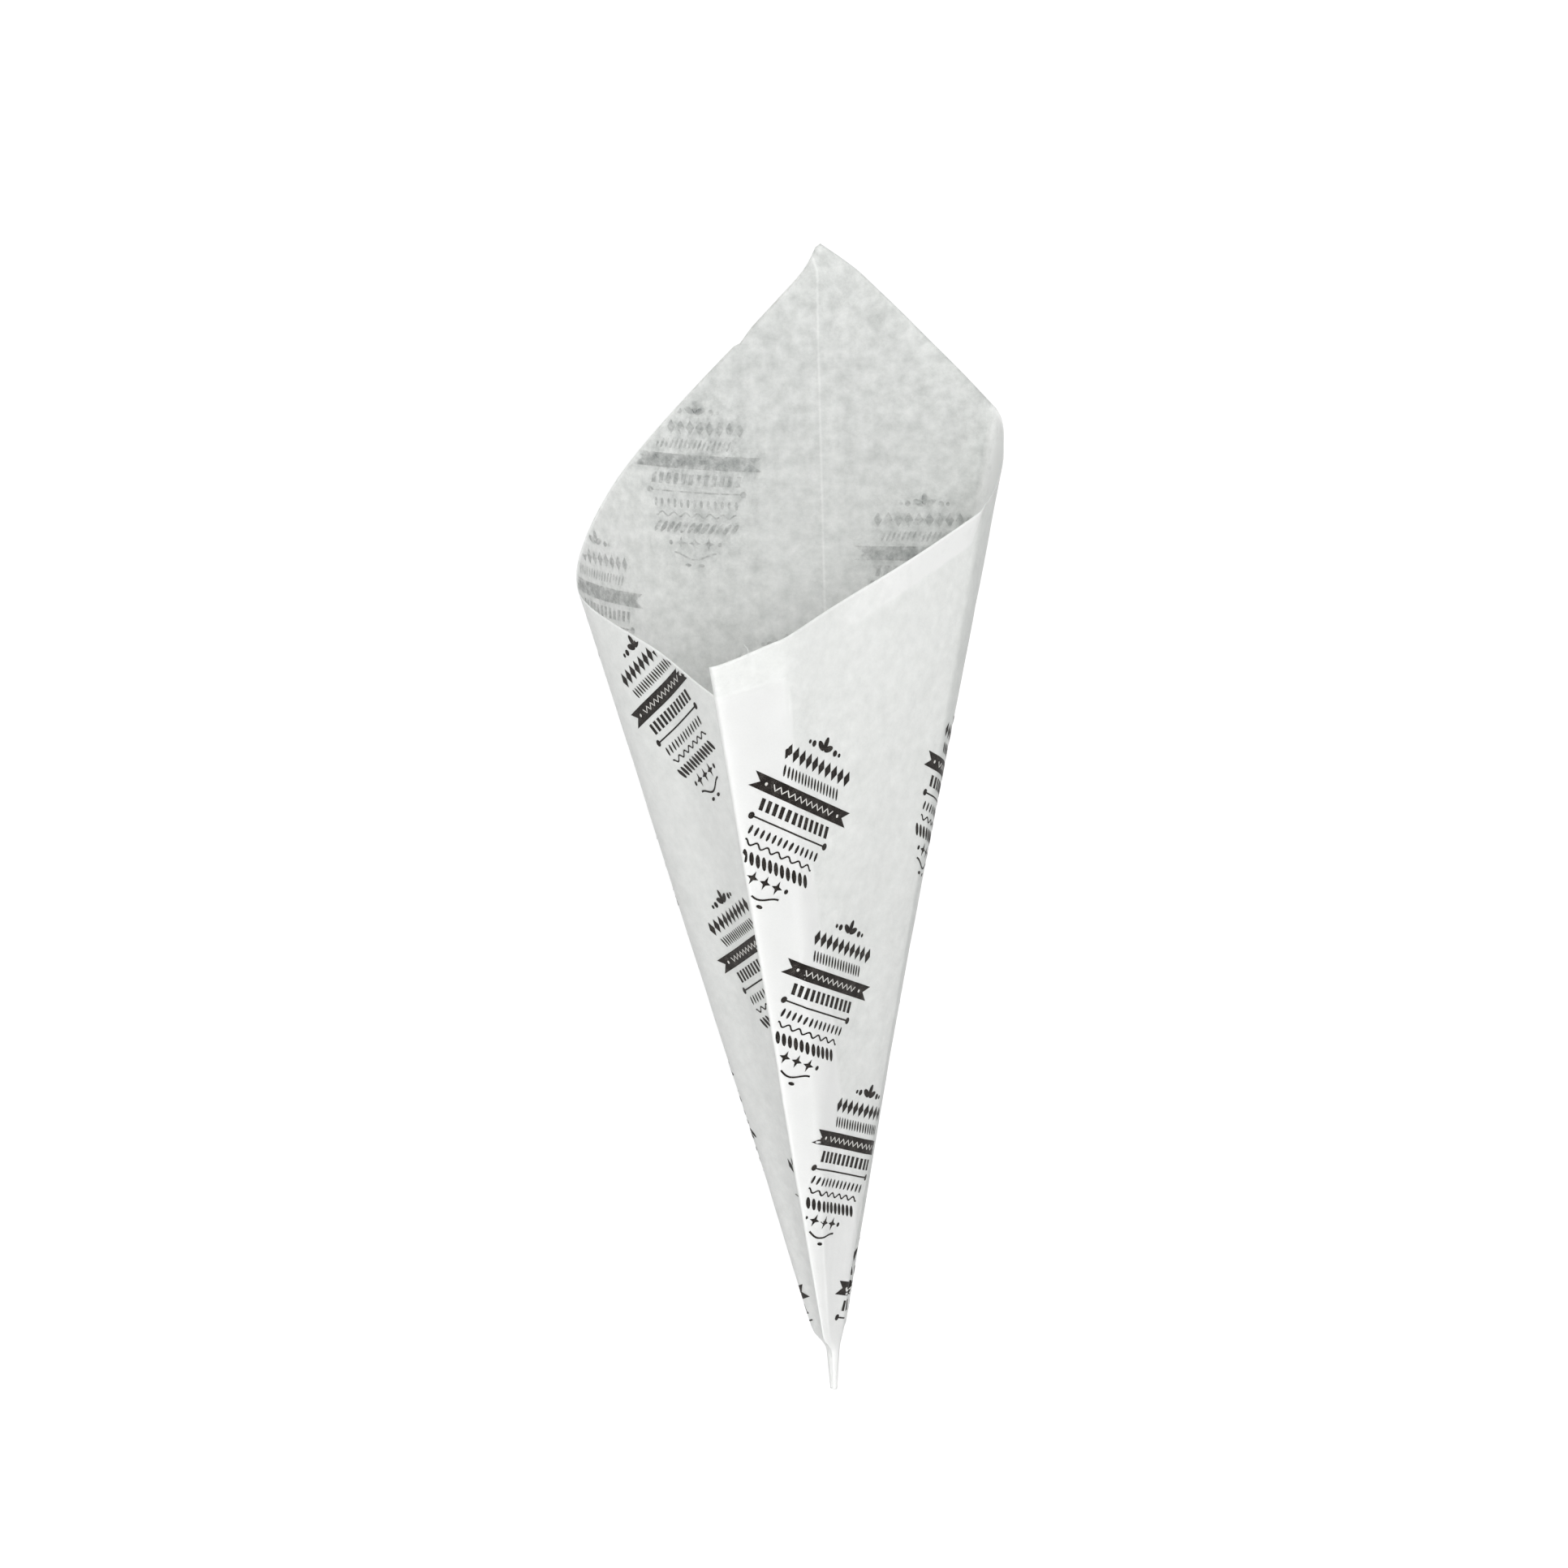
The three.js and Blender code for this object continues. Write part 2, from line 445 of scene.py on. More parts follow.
def make_sheet(ghost):
    """ghost gives how much of the print shows through at places in the flat sheet."""
    angle, distance = grid_places()
    outer = rolled(angle, distance, np.zeros_like(angle))
    inner = rolled(angle, distance, np.full_like(angle, -PAPER))
    points = np.concatenate([outer.reshape(-1, 3), inner.reshape(-1, 3)])
    faces = sheet_faces(angle.shape[0] - 1, ROWS).tolist()
    mesh = make_mesh("rolled_paper", points, faces)
    mesh.validate()
    flat = to_flat(angle, distance).reshape(-1, 2)
    add_outside_numbers(mesh, angle, distance)
    add_inside_numbers(mesh, angle, distance, ghost(flat))
    add_flat(mesh, np.tile(flat, (2, 1)))
    return make_piece("rolled_paper", mesh)


# A loose fibre on the rim beside the seam: steps across, up and outward from its root

FIBRE_ANGLE = math.radians(42.4)
FIBRE_STEPS = [(0, 0, -0.4), (0.2, 0.3, 0.5), (0.1, 0.4, 1.2), (-0.5, 0.6, 1.8), (-0.8, 1.0, 2.3)]
FIBRE_RADIUS = 0.07
FIBRE_SIDES = 5


def make_fibre():
    """A thin tube along the fibre's steps."""
    angle = np.array([FIBRE_ANGLE])
    root = rolled(angle, rim_distance(angle), np.zeros(1))[0]
    line = root + np.array([(across, out, up) for across, up, out in FIBRE_STEPS])
    around = np.linspace(0, 2 * math.pi, FIBRE_SIDES, endpoint=False)
    ring = FIBRE_RADIUS * np.stack([np.cos(around), np.zeros(FIBRE_SIDES), np.sin(around)], -1)
    points = (line[:, None] + ring).reshape(-1, 3)
    at = np.arange(len(line) - 1)[:, None, None] * FIBRE_SIDES
    side = np.arange(FIBRE_SIDES)[None, :, None]
    ahead = (side + 1) % FIBRE_SIDES
    lower = [at + side, at + ahead]
    upper = [at + ahead + FIBRE_SIDES, at + side + FIBRE_SIDES]
    faces = np.concatenate(lower + upper, -1).reshape(-1, 4)
    mesh = make_mesh("loose_fibre", points, faces.tolist())
    mesh.validate()
    return make_piece("loose_fibre", mesh)


# Print: one block of plain ornaments, repeated over the flat sheet. A block is drawn in its own
# plane, with x along its band and y toward the rim.

BLOCK_START = np.array([119.7, 152.2]) + CORNER
BLOCK_ACROSS = np.array([67.8, -27.9])
BLOCK_DOWN = np.array([-41.9, -40.6])
BLOCK_TURN = 0.0365
BLOCK_REACH = 34
BLOCKS_ACROSS = range(-6, 7)
BLOCKS_DOWN = range(-1, 8)
# The row above the first is printed only to the left of this block
TOP_ROW_END = -1
PRINT_MARGIN = 0.6
PRINT_START = 27
INK_OUT = 0.07
PALE_OUT = 0.1
STEP = 0.8

# Band with a notch at each end, and the pale zigzag and dots in it
BAND_LENGTH = 41.4
BAND_HEIGHT = 4.2
BAND_NOTCH = 3
BAND_ROWS = 4
ZIGZAG_POINTS = 21
ZIGZAG_LENGTH = 26
ZIGZAG_RISE = 0.75
ZIGZAG_WIDTH = 0.35
BAND_DOTS = ((-15.5, 0.5), (15.5, 0.5))

# Rows of the block: height of the row's middle, number of marks and the row's width
DIAMONDS = (10, 10, 27.5)
BLADES = (5.1, 17, 24)
BRICKS = (-5.2, 12, 27)
DROPS = (-12.3, 13, 26)
LEAVES = (-19.3, 12, 25)
STARS = (-23.8, 3, 9)
TAIL_LEAVES = (-30.2, 2, 4.4)

# Marks of the rows: half width and half height, or length, width and turn of a leaf. Dots are
# given as place and radius.
DIAMOND_HALF = (1.35, 2.2)
BRICK_HALF = (0.7, 1.6)
BRICK_SLANT = 0.3
BLADE_SHAPE = (3.4, 0.75, 1.15)
DROP_SHAPE = (2.6, 1.0, math.pi / 2)
LEAF_SHAPE = (4.2, 1.35, 0.9)
TAIL_LEAF_SHAPE = (2.2, 1.0, 0)
STAR_RADIUS = 2.0
STAR_WAIST = 0.36
STAR_DOTS = ((-8, 0.7), (8, 0.7))

# Sprig on top: three leaves that fan out from a point, with dots to both sides
SPRIG_AT = 14.2
SPRIG_REACH = 1.9
SPRIG_TURNS = (-1.1, 0, 1.1)
SPRIG_LEAF = (3.7, 1.8)
SPRIG_DOTS_AT = 14.8
SPRIG_DOTS = ((-7, 0.6), (-5, 0.9), (5, 0.9), (7, 0.6))

# Lines: height and half length, then the line's width, and of a wave its rise and pace
RULE = (-8.9, 14.5)
RULE_WIDTH = 0.45
RULE_DOTS = ((-15, 1.0), (15, 1.0))
WAVE = (-15.6, 13)
WAVE_WIDTH = 0.5
WAVE_RISE = 0.6
WAVE_PACE = 1.6
TAIL_WAVE = (-27.6, 7)
TAIL_WAVE_WIDTH = 0.55
TAIL_WAVE_PACE = 0.45

# Points along each wave and along a leaf's side, and the corners of a star
WAVE_POINTS = 64
TAIL_WAVE_POINTS = 20
LEAF_POINTS = 7
STAR_CORNERS = 8


def stroke(points, width):
    """A line of some width along points, as corners and faces."""
    rows = [np.asarray(points[:1], float)]
    for start, end in zip(np.asarray(points[:-1], float), np.asarray(points[1:], float)):
        count = max(1, math.ceil(np.linalg.norm(end - start) / STEP))
        rows.append(start + (end - start) * (np.arange(1, count + 1) / count)[:, None])
    row = np.concatenate(rows)
    ahead = np.gradient(row, axis=0)
    side = np.stack([-ahead[:, 1], ahead[:, 0]], -1)
    side *= width / 2 / np.linalg.norm(side, axis=1)[:, None]
    at = np.arange(len(row) - 1)[:, None]
    faces = at + [1, len(row) + 1, len(row), 0]
    return np.concatenate([row + side, row - side]), faces.tolist()


def fill(outline):
    """A small filled shape, as corners and faces that meet in its middle."""
    outline = np.asarray(outline, float)
    at = np.arange(len(outline))
    faces = np.stack([at, np.full(len(outline), len(outline)), np.roll(at, -1)], -1)
    return np.concatenate([outline, outline.mean(0)[None]]), faces.tolist()


def turned(points, turn):
    sine, cosine = math.sin(turn), math.cos(turn)
    return points @ np.array([[cosine, sine], [-sine, cosine]])


def circle(middle, radius, count):
    around = np.linspace(0, 2 * math.pi, count, endpoint=False)
    return np.array(middle) + radius * np.stack([np.cos(around), np.sin(around)], -1)


def leaf(middle, length, width, turn):
    along = np.linspace(0, math.pi, LEAF_POINTS)
    upper = np.stack([-np.cos(along) * length / 2, np.sin(along) * width / 2], -1)
    return fill(np.array(middle) + turned(np.concatenate([upper, -upper[1:-1]]), turn))


def star(middle):
    around = np.linspace(0, 2 * math.pi, STAR_CORNERS, endpoint=False)
    reach = np.where(np.arange(STAR_CORNERS) % 2, STAR_WAIST, 1) * STAR_RADIUS
    points = reach[:, None] * np.stack([np.cos(around), np.sin(around)], -1)
    return fill(np.array(middle) + points)


def diamond(middle):
    x, y = middle
    wide, high = DIAMOND_HALF
    return fill([(x, y - high), (x + wide, y), (x, y + high), (x - wide, y)])


def brick(middle):
    """A short bar whose upper edge is set to the right."""
    x, y = middle
    wide, high = BRICK_HALF
    low, top = x - BRICK_SLANT, x + BRICK_SLANT
    lower = [(low - wide, y - high), (low + wide, y - high)]
    upper = [(top + wide, y + high), (top - wide, y + high)]
    return fill(lower + upper)


def spread(count, width):
    return np.linspace(-width / 2, width / 2, count)


def row_of(shape, row, *details):
    height, count, width = row
    return [shape((x, height), *details) for x in spread(count, width)]


def dots(height, places, sides=10):
    return [fill(circle((x, height), radius, sides)) for x, radius in places]


def band():
    up = np.linspace(-1, 1, BAND_ROWS + 1)
    half = BAND_LENGTH / 2 - BAND_NOTCH * (1 - abs(up))
    columns = math.ceil(BAND_LENGTH / STEP)
    across = np.linspace(-1, 1, columns + 1)
    heights = np.repeat(up[:, None] * BAND_HEIGHT / 2, columns + 1, 1)
    points = np.stack([half[:, None] * across, heights], -1)
    row, column = np.meshgrid(np.arange(BAND_ROWS), np.arange(columns), indexing="ij")
    at = (row * (columns + 1) + column).reshape(-1, 1)
    return points.reshape(-1, 2), (at + [columns + 1, columns + 2, 1, 0]).tolist()


def sprig():
    marks = []
    for turn in SPRIG_TURNS:
        middle = (SPRIG_REACH * math.sin(turn), SPRIG_AT + SPRIG_REACH * math.cos(turn))
        marks.append(leaf(middle, *SPRIG_LEAF, math.pi / 2 - turn))
    return marks + dots(SPRIG_DOTS_AT, SPRIG_DOTS)


def rule():
    height, half = RULE
    return [stroke([(-half, height), (half, height)], RULE_WIDTH)]


def wave():
    height, half = WAVE
    places = np.linspace(-half, half, WAVE_POINTS)
    return [stroke([(x, height + WAVE_RISE * math.sin(x * WAVE_PACE)) for x in places], WAVE_WIDTH)]


def tail_wave():
    height, half = TAIL_WAVE
    places = np.linspace(-half, half, TAIL_WAVE_POINTS)
    return [stroke([(x, height - math.cos(x * TAIL_WAVE_PACE)) for x in places], TAIL_WAVE_WIDTH)]


def dark_marks():
    """Rows of plain ornaments, from the sprig on top to the leaves at the bottom."""
    rows = (
        sprig(),
        row_of(diamond, DIAMONDS),
        row_of(leaf, BLADES, *BLADE_SHAPE),
        [band()],
        row_of(brick, BRICKS),
        rule(),
        dots(RULE[0], RULE_DOTS),
        row_of(leaf, DROPS, *DROP_SHAPE),
        wave(),
        row_of(leaf, LEAVES, *LEAF_SHAPE),
        row_of(star, STARS),
        dots(STARS[0], STAR_DOTS),
        tail_wave(),
        row_of(leaf, TAIL_LEAVES, *TAIL_LEAF_SHAPE),
    )
    return [mark for row in rows for mark in row]


def pale_marks():
    places = enumerate(spread(ZIGZAG_POINTS, ZIGZAG_LENGTH))
    zigzag = [(x, ZIGZAG_RISE * (-1) ** n) for n, x in places]
    return [stroke(zigzag, ZIGZAG_WIDTH)] + dots(0, BAND_DOTS, sides=8)


def join(marks):
    points, faces, count = [], [], 0
    for corners, sides in marks:
        points.append(corners)
        faces += [[index + count for index in face] for face in sides]
        count += len(corners)
    return np.concatenate(points), faces


def from_middle(flat):
    """How far places lie from the sheet's middle, counted square to its nearest edge."""
    return abs(flat - SHEET_MIDDLE).sum(-1) / math.sqrt(2)


def on_sheet(flat):
    """Whether places lie in the printed part of the sheet, clear of its edges."""
    angle, distance = from_flat(flat)
    inside = (from_middle(flat) < SHEET_SIDE / 2 - PRINT_MARGIN) & (distance > PRINT_START)
    return inside & (distance * (SEAM_ANGLE - angle) > PRINT_MARGIN)


def block_middles():
    """The middles of all blocks that reach the sheet. The right front and the peak stay bare."""
    middles = []
    for across in BLOCKS_ACROSS:
        for down in BLOCKS_DOWN:
            middle = BLOCK_START + across * BLOCK_ACROSS + down * BLOCK_DOWN
            bare = down < 0 and across >= TOP_ROW_END
            if not bare and from_middle(middle) <= SHEET_SIDE / 2 + BLOCK_REACH:
                middles.append(middle)
    return middles


def print_over(marks):
    """The marks of every block, as places in the flat sheet and faces."""
    own, own_faces = join(marks)
    own_faces = [np.array(face) for face in own_faces]
    points, faces, count = [], [], 0
    for middle in block_middles():
        flat = middle + turned(own, -BLOCK_TURN)
        kept = on_sheet(flat)
        faces += [(face + count).tolist() for face in own_faces if kept[face].all()]
        points.append(flat)
        count += len(flat)
    return np.concatenate(points), faces


# Print seen through the paper, as a blurred share of ink in square cells over the flat sheet

CELL = 0.5
CELLS_FROM = np.array([-180, 0])
CELLS = (760, 760)
BLUR = 0.75
BLUR_CELLS = 6


def face_area(points, face):
    corners = points[face]
    ahead = np.roll(corners, -1, 0)
    return abs((corners[:, 0] * ahead[:, 1] - corners[:, 1] * ahead[:, 0]).sum()) / 2


def ink_shares(points, faces):
    middles = np.array([points[face].mean(0) for face in faces])
    areas = [face_area(points, face) for face in faces]
    place = ((middles - CELLS_FROM) / CELL).astype(int)
    share = np.zeros(CELLS)
    np.add.at(share, (place[:, 0], place[:, 1]), areas)
    share /= CELL * CELL
    reach = np.arange(-BLUR_CELLS, BLUR_CELLS + 1) * CELL
    weights = np.exp(-(reach**2) / 2 / BLUR**2)
    weights /= weights.sum()
    for axis in (0, 1):
        share = np.apply_along_axis(np.convolve, axis, share, weights, "same")
    return share


def show_through(points, faces):
    """A function that gives the blurred share of ink at places in the flat sheet."""
    share = ink_shares(points, faces)

    def at(flat):
        place = np.clip((flat - CELLS_FROM) / CELL - 0.5, 0, np.array(CELLS) - 2)
        first = place.astype(int)
        part = place - first
        found = np.zeros(len(flat))
        for right in (0, 1):
            for up in (0, 1):
                weight = abs(1 - right - part[:, 0]) * abs(1 - up - part[:, 1])
                found += weight * share[first[:, 0] + right, first[:, 1] + up]
        return np.clip(found, 0, 1)

    return at


# Marks on the rolled sheet


def drop_loose(mesh):
    work = bmesh.new()
    work.from_mesh(mesh)
    loose = [vertex for vertex in work.verts if not vertex.link_faces]
    bmesh.ops.delete(work, geom=loose, context="VERTS")
    work.to_mesh(mesh)
    work.free()


def make_marks(name, layers):
    """Marks on the rolled sheet. Each layer has flat places, faces and a distance off the outer face."""
    places, flats, all_faces, tones, count = [], [], [], [], 0
    for tone, (flat, faces, out) in enumerate(layers):
        angle, distance = from_flat(flat)
        in_view = angle > BACK_OF_SEAM
        kept = [[index + count for index in face] for face in faces if in_view[face].all()]
        places.append(rolled(angle, distance, np.full_like(angle, out)))
        flats.append(flat)
        all_faces += kept if out > 0 else [face[::-1] for face in kept]
        tones += [tone] * len(kept)
        count += len(flat)
    mesh = make_mesh(name, np.concatenate(places), all_faces)
    mesh.polygons.foreach_set("material_index", tones)
    add_flat(mesh, np.concatenate(flats))
    drop_loose(mesh)
    return make_piece(name, mesh)


# Looks. A share goes from a material's dark colour at 0 to its light colour at 1.

PAPER_COLOURS = ((0.36, 0.375, 0.365), (0.91, 0.925, 0.90))
PAPER_SHARE = 0.70
DOUBLE_SHARE = 0.27
# Painted shade: the whole inner face is darker
INSIDE_PAINTED_SHADE_SHARE = -0.31
# Painted light: the inner face is paler deep inside the cone
DEEP_PAINTED_LIGHT_SHARE = 0.28
# Painted light: steep inner walls are paler
STEEP_PAINTED_LIGHT_SHARE = 0.75
# Painted light: the lip is paler
LIP_PAINTED_LIGHT_SHARE = 0.32
# Painted shade: the outer side band is darker
SIDE_BAND_PAINTED_SHADE_SHARE = -0.24
SINGLE_CLOUDS_SHARE = 0.55
INSIDE_CLOUDS_SHARE = 0.66
PATCHES_SHARE = 0.15
GRAIN_SHARE = 0.13
GHOST_SHARE = -0.28
GHOST_CLOUDS = -2.5
CREASE_SHARE = 0.22
CREASE_MM = 3.45
CREASE_WIDTH_MM = 0.55
THROUGH_WEIGHT = 0.8
THROUGH_MM = 0.45
PAPER_ROUGHNESS = 0.55
CLOUDS_ROUGHNESS = 0.3
GRAIN_ROUGHNESS = 0.15
GRAIN_HEIGHT = 0.3
PAPER_BUMP = (0.35, 0.12)

INK_COLOURS = ((0.008, 0.006, 0.005), (0.36, 0.33, 0.30))
INK_SHARE = -0.04
INK_GRAIN_SHARE = 1.7
INK_PATCHES_SHARE = 0.6
INK_ROUGHNESS = 0.6
INK_GRAIN_ROUGHNESS = 0.4
INK_SPECULAR = 0.12
INK_BUMP = (0.3, 0.05)

BARE_COLOURS = ((0.35, 0.33, 0.30), (0.84, 0.84, 0.81))
BARE_SHARE = 0.6
BARE_GRAIN_SHARE = 1.2
BARE_GRAIN_ROUGHNESS = 0.3

FAINT_COLOURS = ((0.10, 0.11, 0.11), (0.19, 0.20, 0.20))
FAINT_COLOUR_SHARE = 0.5
FAINT_SHARE = 0.14
FAINT_CLOUDS_SHARE = -1.0
FAINT_GRAIN_SHARE = 0.3

# Noise: size of a blob in millimetres, detail, roughness
PAPER_CLOUDS = (4.5, 5.0, 0.68)
PAPER_PATCHES = (16, 2.0, 0.5)
PAPER_GRAIN = (0.5, 2.0, 0.6)
INK_GRAIN = (0.22, 2.0, 0.7)
INK_PATCHES = (2.4, 2.0, 0.5)
BARE_GRAIN = (0.3, 2.0, 0.7)
FAINT_CLOUDS = (2.6, 4.0, 0.7)


def new_material(name):
    material = bpy.data.materials.new(name)
    material.use_nodes = True
    nodes = material.node_tree.nodes
    return material, nodes, material.node_tree.links, nodes["Principled BSDF"]


def math_node(nodes, links, operation, first, second):
    node = nodes.new("ShaderNodeMath")
    node.operation = operation
    for socket, value in zip(node.inputs, (first, second)):
        if isinstance(value, (int, float)):
            socket.default_value = value
        else:
            links.new(value, socket)
    return node.outputs[0]


def attribute(nodes, name):
    node = nodes.new("ShaderNodeAttribute")
    node.attribute_name = name
    return node.outputs["Fac"]


def flat_place(nodes, links):
    node = nodes.new("ShaderNodeCombineXYZ")
    links.new(attribute(nodes, "flat_x"), node.inputs["X"])
    links.new(attribute(nodes, "flat_y"), node.inputs["Y"])
    return node.outputs[0]


def noise(nodes, links, place, blob_mm, detail, roughness):
    """Noise about zero, with blobs of a given size."""
    node = nodes.new("ShaderNodeTexNoise")
    node.inputs["Scale"].default_value = 1 / (blob_mm * MM)
    node.inputs["Detail"].default_value = detail
    node.inputs["Roughness"].default_value = roughness
    links.new(place, node.inputs["Vector"])
    return math_node(nodes, links, "SUBTRACT", node.outputs["Fac"], 0.5)


def total(nodes, links, start, *terms):
    """start plus each factor times its value."""
    found = start
    for factor, value in terms:
        product = math_node(nodes, links, "MULTIPLY", value, factor)
        found = math_node(nodes, links, "ADD", product, found)
    return found


def between(nodes, links, share, colours):
    node = nodes.new("ShaderNodeMix")
    node.data_type = "RGBA"
    links.new(share, node.inputs[0])
    node.inputs[6].default_value = (*colours[0], 1)
    node.inputs[7].default_value = (*colours[1], 1)
    return node.outputs[2]


def add_bump(nodes, links, shader, height, strength, distance_mm):
    bump = nodes.new("ShaderNodeBump")
    bump.inputs["Strength"].default_value = strength
    bump.inputs["Distance"].default_value = distance_mm * MM
    links.new(height, bump.inputs["Height"])
    links.new(bump.outputs[0], shader.inputs["Normal"])


def crease_line(nodes, links):
    """One on the back crease of the sheet, down to zero beside it."""
    from_crease = total(nodes, links, -CREASE_MM * MM, (1, attribute(nodes, "flat_x")))
    beside = math_node(nodes, links, "ABSOLUTE", from_crease, 0)
    height = total(nodes, links, 1, (-1 / (CREASE_WIDTH_MM * MM), beside))
    return math_node(nodes, links, "MAXIMUM", height, 0)


def paper_share(nodes, links, clouds, patches, grain):
    inside = attribute(nodes, "inside")
    double = attribute(nodes, "double")
    thin = math_node(nodes, links, "SUBTRACT", 1, double)
    cloudy = total(nodes, links, 1, (GHOST_CLOUDS, clouds))
    ghost = math_node(nodes, links, "MULTIPLY", attribute(nodes, "ghost"), cloudy)
    terms = (
        (DOUBLE_SHARE, double),
        # The darker inner face, the paler deep and steep inner parts, the paler lip and the darker side
        # band are painted light and shade
        (INSIDE_PAINTED_SHADE_SHARE, inside),
        (DEEP_PAINTED_LIGHT_SHARE, attribute(nodes, "deep")),
        (STEEP_PAINTED_LIGHT_SHARE, attribute(nodes, "steep")),
        (LIP_PAINTED_LIGHT_SHARE, attribute(nodes, "lip")),
        (SIDE_BAND_PAINTED_SHADE_SHARE, attribute(nodes, "side")),
        (SINGLE_CLOUDS_SHARE, math_node(nodes, links, "MULTIPLY", clouds, thin)),
        (INSIDE_CLOUDS_SHARE, math_node(nodes, links, "MULTIPLY", clouds, inside)),
        (PATCHES_SHARE, patches),
        (GRAIN_SHARE, grain),
        (GHOST_SHARE, ghost),
        (CREASE_SHARE, crease_line(nodes, links)),
    )
    return total(nodes, links, PAPER_SHARE, *terms)


def paper_material():
    material, nodes, links, shader = new_material("greaseproof_paper")
    place = flat_place(nodes, links)
    clouds = noise(nodes, links, place, *PAPER_CLOUDS)
    patches = noise(nodes, links, place, *PAPER_PATCHES)
    grain = noise(nodes, links, place, *PAPER_GRAIN)
    share = paper_share(nodes, links, clouds, patches, grain)
    rough_terms = ((CLOUDS_ROUGHNESS, clouds), (GRAIN_ROUGHNESS, grain))
    roughness = total(nodes, links, PAPER_ROUGHNESS, *rough_terms)
    links.new(between(nodes, links, share, PAPER_COLOURS), shader.inputs["Base Color"])
    links.new(roughness, shader.inputs["Roughness"])
    shader.inputs["Subsurface Weight"].default_value = THROUGH_WEIGHT
    shader.inputs["Subsurface Radius"].default_value = (1, 1, 1)
    shader.inputs["Subsurface Scale"].default_value = THROUGH_MM * MM
    height = total(nodes, links, 0, (1.0, clouds), (GRAIN_HEIGHT, grain))
    add_bump(nodes, links, shader, height, *PAPER_BUMP)
    return material


def ink_material():
    material, nodes, links, shader = new_material("dark_brown_ink")
    place = flat_place(nodes, links)
    grain = noise(nodes, links, place, *INK_GRAIN)
    patches = noise(nodes, links, place, *INK_PATCHES)
    share = total(nodes, links, INK_SHARE, (INK_GRAIN_SHARE, grain), (INK_PATCHES_SHARE, patches))
    roughness = total(nodes, links, INK_ROUGHNESS, (INK_GRAIN_ROUGHNESS, grain))
    links.new(between(nodes, links, share, INK_COLOURS), shader.inputs["Base Color"])
    links.new(roughness, shader.inputs["Roughness"])
    shader.inputs["Specular IOR Level"].default_value = INK_SPECULAR
    add_bump(nodes, links, shader, grain, *INK_BUMP)
    return material


def bare_material():
    """Where the band is left open, the paper shows."""
    material, nodes, links, shader = new_material("bare_in_band")
    grain = noise(nodes, links, flat_place(nodes, links), *BARE_GRAIN)
    share = total(nodes, links, BARE_SHARE, (BARE_GRAIN_SHARE, grain))
    roughness = total(nodes, links, PAPER_ROUGHNESS, (BARE_GRAIN_ROUGHNESS, grain))
    links.new(between(nodes, links, share, BARE_COLOURS), shader.inputs["Base Color"])
    links.new(roughness, shader.inputs["Roughness"])
    return material


def faint_material():
    """The print as it shows through the paper, uneven like the paper's own clouds."""
    material, nodes, links, shader = new_material("faint_ink")
    place = flat_place(nodes, links)
    clouds = noise(nodes, links, place, *FAINT_CLOUDS)
    grain = noise(nodes, links, place, *PAPER_GRAIN)
    share = total(nodes, links, FAINT_COLOUR_SHARE, (1, grain))
    alpha_terms = ((FAINT_CLOUDS_SHARE, clouds), (FAINT_GRAIN_SHARE, grain))
    alpha = total(nodes, links, FAINT_SHARE, *alpha_terms)
    roughness = total(nodes, links, INK_ROUGHNESS, (CLOUDS_ROUGHNESS, clouds))
    links.new(between(nodes, links, share, FAINT_COLOURS), shader.inputs["Base Color"])
    links.new(alpha, shader.inputs["Alpha"])
    links.new(roughness, shader.inputs["Roughness"])
    return material


# Camera, light and floor

FOCAL_PIXELS = 2760.3
PHOTO_PIXELS = 1932
SENSOR_MM = 36
CAMERA_DISTANCE = 672
APEX_PIXEL = (1027.4, 1724.5)
CAMERA_TILT = 0.0372
CAMERA_PAN = -0.0583
CAMERA_ROLL = -0.0196

# Floor and light, in metres and watts
FLOOR_SIZE = 6.0
FLOOR_DROP = 0.0002
FLOOR_LEVEL = 0.45
FLOOR_GLOW = 0.62
WORLD_LEVEL = 0.48
KEY_PLACE = (-0.06, 0.2, 1.58)
KEY_SIZE = 1.1
KEY_POWER = 17.1
FILL_PLACE = (-0.05, -0.8, 1.2)
FILL_SIZE = 1.2
FILL_POWER = 6.5


def make_camera():
    """Looks down on the cone from where the photograph's camera was."""
    turn = (
        Matrix.Rotation(CAMERA_ROLL, 3, "Z")
        @ Matrix.Rotation(CAMERA_TILT, 3, "X")
        @ Matrix.Rotation(CAMERA_PAN, 3, "Y")
        @ Matrix.Diagonal((1, -1, -1))
    )
    across, down = ((pixel - PHOTO_PIXELS / 2) / FOCAL_PIXELS for pixel in APEX_PIXEL)
    apex_seen = Vector((across, down, 1)) * CAMERA_DISTANCE
    place = APEX - turn.transposed() @ apex_seen
    axes = Matrix((turn[0], -turn[1], -turn[2])).transposed()
    data = bpy.data.cameras.new("camera")
    data.sensor_width = SENSOR_MM
    data.lens = FOCAL_PIXELS / PHOTO_PIXELS * SENSOR_MM
    camera = bpy.data.objects.new("camera", data)
    camera.matrix_world = Matrix.Translation(place * MM) @ axes.to_4x4()
    bpy.context.scene.collection.objects.link(camera)
    bpy.context.scene.camera = camera


def seen_directly(nodes, links, strength):
    """A strength that only rays from the camera, a gloss or a clear surface meet."""
    path = nodes.new("ShaderNodeLightPath").outputs
    gloss = math_node(nodes, links, "MAXIMUM", path["Is Camera Ray"], path["Is Glossy Ray"])
    clear = math_node(nodes, links, "MAXIMUM", gloss, path["Is Transmission Ray"])
    return math_node(nodes, links, "MULTIPLY", clear, strength)


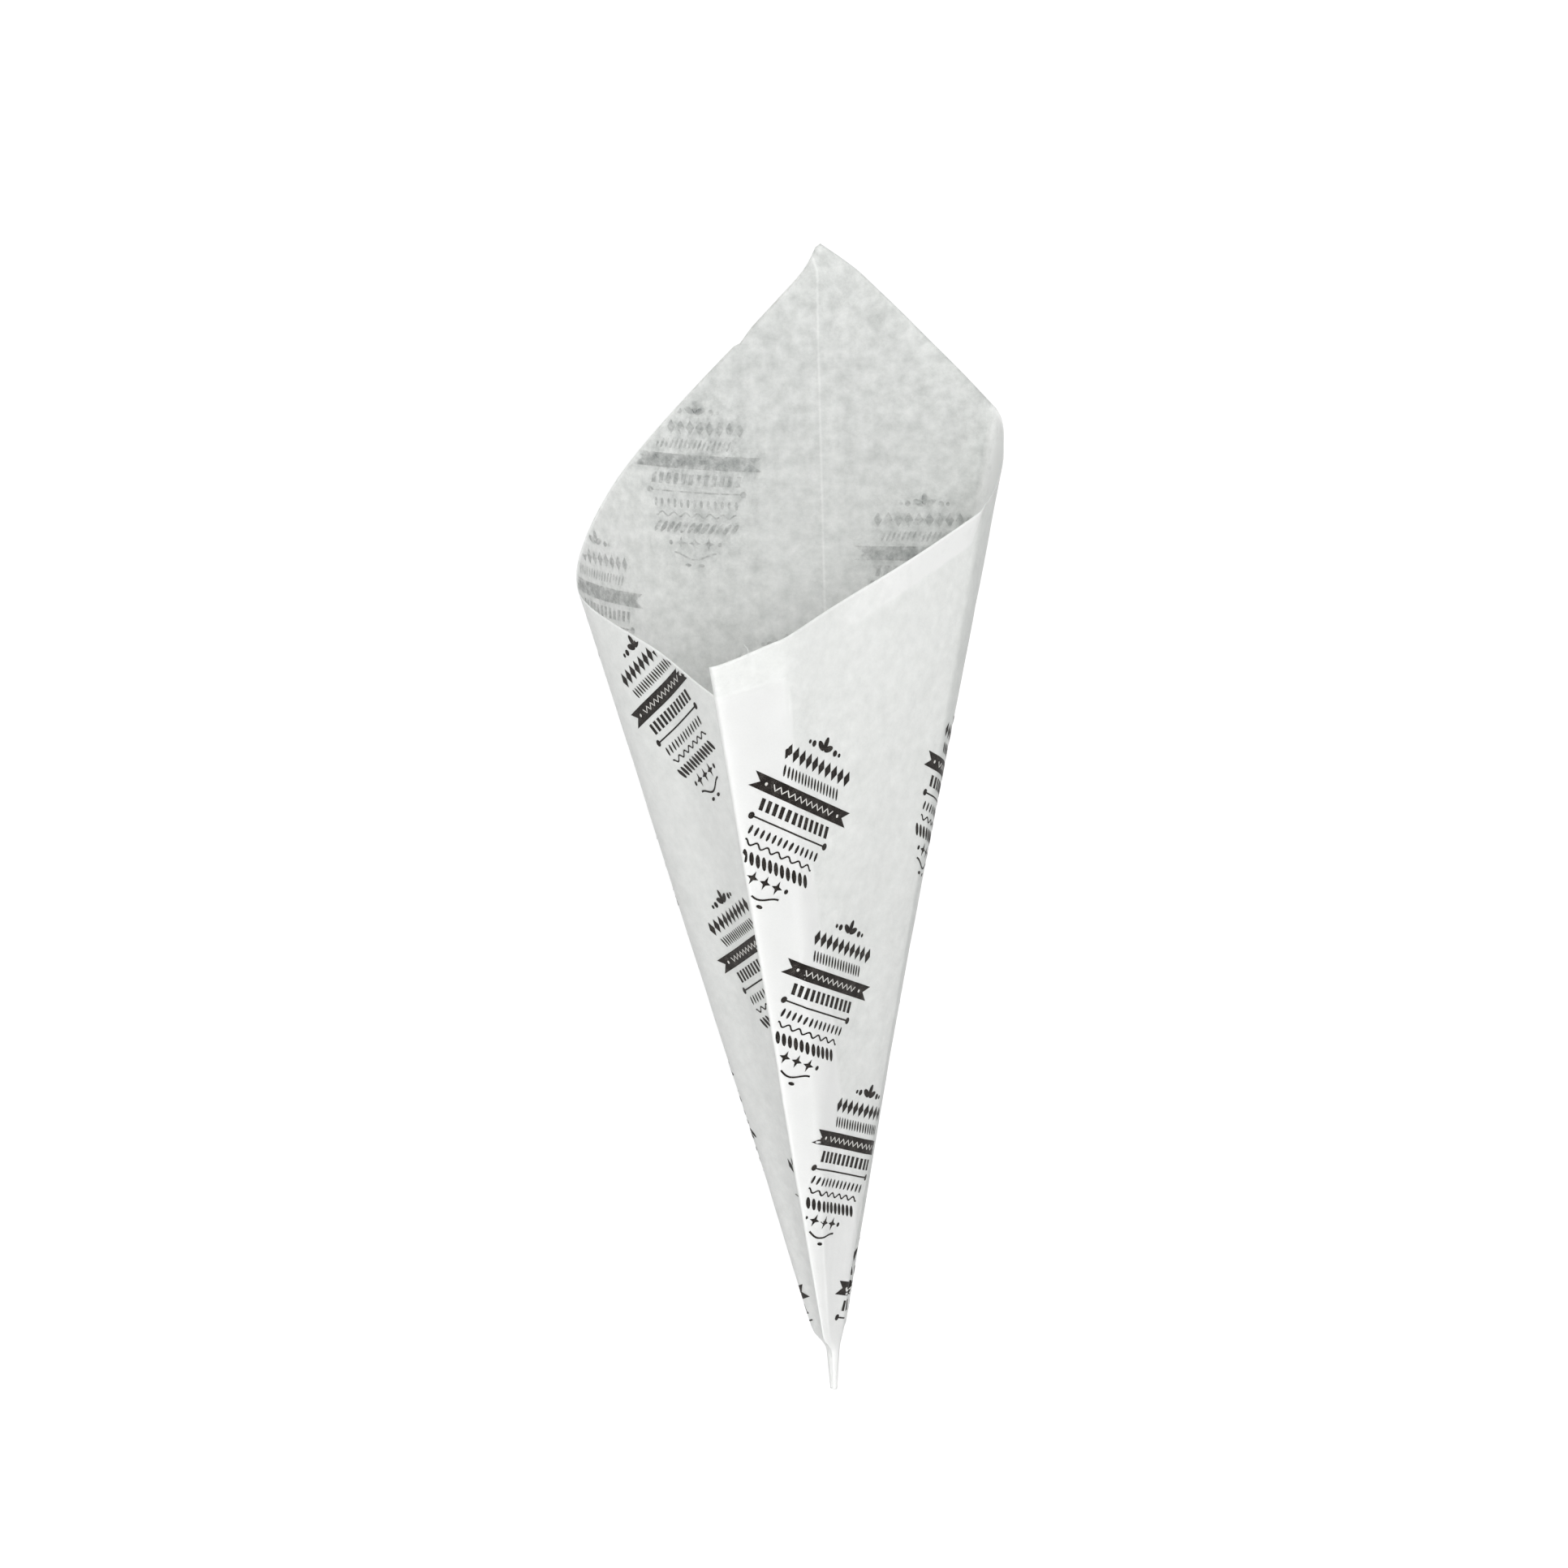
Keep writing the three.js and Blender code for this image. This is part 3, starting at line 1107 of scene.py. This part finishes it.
def make_floor():
    bpy.ops.mesh.primitive_plane_add(size=FLOOR_SIZE, location=(0, 0, -FLOOR_DROP))
    floor = bpy.context.object
    floor.name = "floor"
    material = bpy.data.materials.new("pale_floor")
    material.use_nodes = True
    nodes, links = material.node_tree.nodes, material.node_tree.links
    nodes.clear()
    output = nodes.new("ShaderNodeOutputMaterial")
    add = nodes.new("ShaderNodeAddShader")
    diffuse = nodes.new("ShaderNodeBsdfDiffuse")
    diffuse.inputs["Color"].default_value = (FLOOR_LEVEL, FLOOR_LEVEL, FLOOR_LEVEL, 1)
    glow = nodes.new("ShaderNodeEmission")
    links.new(seen_directly(nodes, links, FLOOR_GLOW), glow.inputs["Strength"])
    links.new(diffuse.outputs[0], add.inputs[0])
    links.new(glow.outputs[0], add.inputs[1])
    links.new(add.outputs[0], output.inputs["Surface"])
    floor.data.materials.append(material)


def make_world():
    world = bpy.data.worlds.new("studio")
    bpy.context.scene.world = world
    world.use_nodes = True
    nodes, links = world.node_tree.nodes, world.node_tree.links
    background = nodes["Background"]
    background.inputs["Color"].default_value = (1, 1, 1, 1)
    seen = seen_directly(nodes, links, 1 - WORLD_LEVEL)
    links.new(total(nodes, links, WORLD_LEVEL, (1, seen)), background.inputs["Strength"])


def make_lamp(name, place, size, power):
    data = bpy.data.lights.new(name, "AREA")
    data.shape = "DISK"
    data.size = size
    data.energy = power
    lamp = bpy.data.objects.new(name, data)
    lamp.location = place
    lamp.rotation_euler = (-Vector(place)).to_track_quat("-Z", "Y").to_euler()
    bpy.context.scene.collection.objects.link(lamp)


make_camera()
make_floor()
make_world()
make_lamp("key_lamp", KEY_PLACE, KEY_SIZE, KEY_POWER)
make_lamp("fill_lamp", FILL_PLACE, FILL_SIZE, FILL_POWER)
bpy.context.scene.view_settings.view_transform = "Standard"

dark = print_over(dark_marks())
pale = print_over(pale_marks())
paper = make_sheet(show_through(*dark))
paper.data.materials.append(paper_material())
marks = make_marks("printed_marks", [(*dark, INK_OUT), (*pale, PALE_OUT)])
marks.data.materials.append(ink_material())
marks.data.materials.append(bare_material())
shadows = make_marks("marks_showing_through", [(*dark, -PAPER - INK_OUT)])
shadows.data.materials.append(faint_material())
fibre = make_fibre()
fibre.data.materials.append(paper.data.materials[0])
for piece in (marks, shadows, fibre):
    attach(piece, "root")
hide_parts("paper_cone")
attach(paper, "root")
